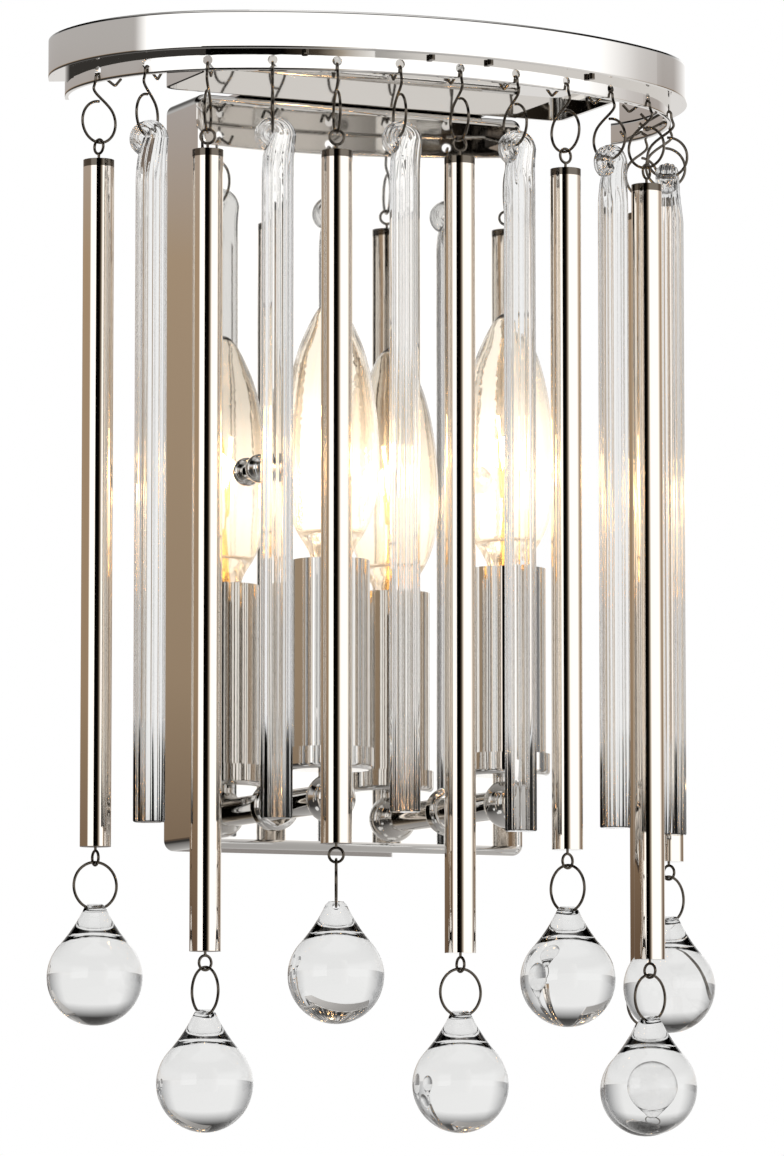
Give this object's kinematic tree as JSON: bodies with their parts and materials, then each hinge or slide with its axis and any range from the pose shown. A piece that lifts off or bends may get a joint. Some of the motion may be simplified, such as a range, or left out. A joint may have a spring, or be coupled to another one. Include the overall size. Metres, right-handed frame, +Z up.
{
  "type": "wall sconce",
  "caption": "Crystal wall sconce: a half-oval polished crown on a wall pan, hung with metal tubes, fluted glass rods and glass drops around candle lamps.",
  "frame": {"origin": "centre of the wall plate's rear face, midway between its two box-screw slots, on the wall plane", "axes": "+X right along the wall as seen from the room, +Y into the wall, +Z up"},
  "size_m": [0.2381, 0.1151, 0.3559],
  "materials": {
    "polished_nickel": "mirror polished nickel plate",
    "clear_glass": "clear polished glass",
    "bulb_glass": "thin clear blown glass",
    "lamp_brass": "satin stamped brass",
    "phenolic": "moulded phenolic",
    "zinc_plated_steel": "zinc plated"
  },
  "bodies": {
    "fixture": {"wall_plate": "zinc_plated_steel", "stud_nuts": "polished_nickel", "back_plate": "polished_nickel", "crown_band": "polished_nickel", "hook_rail": "polished_nickel", "crown_carrier": "polished_nickel", "carrier_screws": "polished_nickel", "lamp_arms": "polished_nickel", "arm_collars": "polished_nickel", "candle_cups": "polished_nickel", "candle_sleeves": "polished_nickel", "lamp_sockets": "phenolic"},
    "strand_01": {"hook_01": "polished_nickel", "tube_1": "polished_nickel"},
    "pendant_1": {"drop_ring_1": "polished_nickel", "drop_1": "clear_glass"},
    "strand_02": {"hook_02": "polished_nickel", "rod_1": "clear_glass"},
    "strand_03": {"hook_03": "polished_nickel", "tube_2": "polished_nickel"},
    "pendant_2": {"drop_ring_2": "polished_nickel", "drop_2": "clear_glass"},
    "strand_04": {"hook_04": "polished_nickel", "rod_2": "clear_glass"},
    "strand_05": {"hook_05": "polished_nickel", "tube_3": "polished_nickel"},
    "pendant_3": {"drop_ring_3": "polished_nickel", "drop_3": "clear_glass"},
    "strand_06": {"hook_06": "polished_nickel", "rod_3": "clear_glass"},
    "strand_07": {"hook_07": "polished_nickel", "tube_4": "polished_nickel"},
    "pendant_4": {"drop_ring_4": "polished_nickel", "drop_4": "clear_glass"},
    "strand_08": {"hook_08": "polished_nickel", "rod_4": "clear_glass"},
    "strand_09": {"hook_09": "polished_nickel", "tube_5": "polished_nickel"},
    "pendant_5": {"drop_ring_5": "polished_nickel", "drop_5": "clear_glass"},
    "strand_10": {"hook_10": "polished_nickel", "rod_5": "clear_glass"},
    "strand_11": {"hook_11": "polished_nickel", "tube_6": "polished_nickel"},
    "pendant_6": {"drop_ring_6": "polished_nickel", "drop_6": "clear_glass"},
    "strand_12": {"hook_12": "polished_nickel", "rod_6": "clear_glass"},
    "strand_13": {"hook_13": "polished_nickel", "tube_7": "polished_nickel"},
    "pendant_7": {"drop_ring_7": "polished_nickel", "drop_7": "clear_glass"},
    "strand_14": {"hook_14": "polished_nickel", "tube_8": "polished_nickel"},
    "pendant_8": {"drop_ring_8": "polished_nickel", "drop_8": "clear_glass"},
    "bulb_left": {"bulb_glass_left": "bulb_glass", "bulb_base_left": "lamp_brass"},
    "bulb_right": {"bulb_glass_right": "bulb_glass", "bulb_base_right": "lamp_brass"}
  },
  "joints": [
    {"name": "strand_01_swing", "type": "hinge", "parent": "fixture", "child": "strand_01", "pos_m": [-0.10293, -0.04609, 0.12185], "axis": [-0.2694, 0.963, 0], "range_deg": [-1.5, 15]},
    {"name": "pendant_1_swing", "type": "hinge", "parent": "strand_01", "child": "pendant_1", "pos_m": [-0.10293, -0.04609, -0.1319], "axis": [0.0523, -0.9986, 0], "range_deg": [-20, 20]},
    {"name": "strand_02_swing", "type": "hinge", "parent": "fixture", "child": "strand_02", "pos_m": [-0.09387, -0.06451, 0.12185], "axis": [-0.5984, 0.8012, 0], "range_deg": [-1.5, 15]},
    {"name": "strand_03_swing", "type": "hinge", "parent": "fixture", "child": "strand_03", "pos_m": [-0.07877, -0.07843, 0.12185], "axis": [-0.847, 0.5317, 0], "range_deg": [-1.5, 15]},
    {"name": "pendant_2_swing", "type": "hinge", "parent": "strand_03", "child": "pendant_2", "pos_m": [-0.07877, -0.07843, -0.1659], "axis": [-0.9848, -0.1736, 0], "range_deg": [-20, 20]},
    {"name": "strand_04_swing", "type": "hinge", "parent": "fixture", "child": "strand_04", "pos_m": [-0.06033, -0.08769, 0.12185], "axis": [-0.9222, 0.3868, 0], "range_deg": [-1.5, 15]},
    {"name": "strand_05_swing", "type": "hinge", "parent": "fixture", "child": "strand_05", "pos_m": [-0.04082, -0.09439, 0.12185], "axis": [-0.9652, 0.2617, 0], "range_deg": [-1.5, 15]},
    {"name": "pendant_3_swing", "type": "hinge", "parent": "strand_05", "child": "pendant_3", "pos_m": [-0.04082, -0.09439, -0.1319], "axis": [0.9063, -0.4226, 0], "range_deg": [-20, 20]},
    {"name": "strand_06_swing", "type": "hinge", "parent": "fixture", "child": "strand_06", "pos_m": [-0.02059, -0.09846, 0.12185], "axis": [-0.9913, 0.132, 0], "range_deg": [-1.5, 15]},
    {"name": "strand_07_swing", "type": "hinge", "parent": "fixture", "child": "strand_07", "pos_m": [0, -0.09983, 0.12185], "axis": [-1, 0, 0], "range_deg": [-1.5, 15]},
    {"name": "pendant_4_swing", "type": "hinge", "parent": "strand_07", "child": "pendant_4", "pos_m": [0, -0.09983, -0.1659], "axis": [0.1045, -0.9945, 0], "range_deg": [-20, 20]},
    {"name": "strand_08_swing", "type": "hinge", "parent": "fixture", "child": "strand_08", "pos_m": [0.02059, -0.09846, 0.12185], "axis": [-0.9913, -0.132, 0], "range_deg": [-1.5, 15]},
    {"name": "strand_09_swing", "type": "hinge", "parent": "fixture", "child": "strand_09", "pos_m": [0.04082, -0.09439, 0.12185], "axis": [-0.9652, -0.2617, 0], "range_deg": [-1.5, 15]},
    {"name": "pendant_5_swing", "type": "hinge", "parent": "strand_09", "child": "pendant_5", "pos_m": [0.04082, -0.09439, -0.1319], "axis": [-0.9455, -0.3256, 0], "range_deg": [-20, 20]},
    {"name": "strand_10_swing", "type": "hinge", "parent": "fixture", "child": "strand_10", "pos_m": [0.06033, -0.08769, 0.12185], "axis": [-0.9222, -0.3868, 0], "range_deg": [-1.5, 15]},
    {"name": "strand_11_swing", "type": "hinge", "parent": "fixture", "child": "strand_11", "pos_m": [0.07877, -0.07843, 0.12185], "axis": [-0.847, -0.5317, 0], "range_deg": [-1.5, 15]},
    {"name": "pendant_6_swing", "type": "hinge", "parent": "strand_11", "child": "pendant_6", "pos_m": [0.07877, -0.07843, -0.1659], "axis": [0.3746, -0.9272, 0], "range_deg": [-20, 20]},
    {"name": "strand_12_swing", "type": "hinge", "parent": "fixture", "child": "strand_12", "pos_m": [0.09387, -0.06451, 0.12185], "axis": [-0.5984, -0.8012, 0], "range_deg": [-1.5, 15]},
    {"name": "strand_13_swing", "type": "hinge", "parent": "fixture", "child": "strand_13", "pos_m": [0.10293, -0.04609, 0.12185], "axis": [-0.2694, -0.963, 0], "range_deg": [-0.5, 15]},
    {"name": "pendant_7_swing", "type": "hinge", "parent": "strand_13", "child": "pendant_7", "pos_m": [0.10293, -0.04609, -0.1319], "axis": [0.3746, -0.9272, 0], "range_deg": [-20, 3]},
    {"name": "strand_14_swing", "type": "hinge", "parent": "fixture", "child": "strand_14", "pos_m": [0.10464, -0.02564, 0.12185], "axis": [0.134, -0.991, 0], "range_deg": [-0.5, 10]},
    {"name": "pendant_8_swing", "type": "hinge", "parent": "strand_14", "child": "pendant_8", "pos_m": [0.10464, -0.02564, -0.1659], "axis": [0.1736, -0.9848, 0], "range_deg": [-20, 20]},
    {"name": "bulb_left_lift", "type": "slide", "parent": "fixture", "child": "bulb_left", "axis": [0, 0, 1], "range_m": [0, 0.014]},
    {"name": "bulb_right_lift", "type": "slide", "parent": "fixture", "child": "bulb_right", "axis": [0, 0, 1], "range_m": [0, 0.014]}
  ]
}
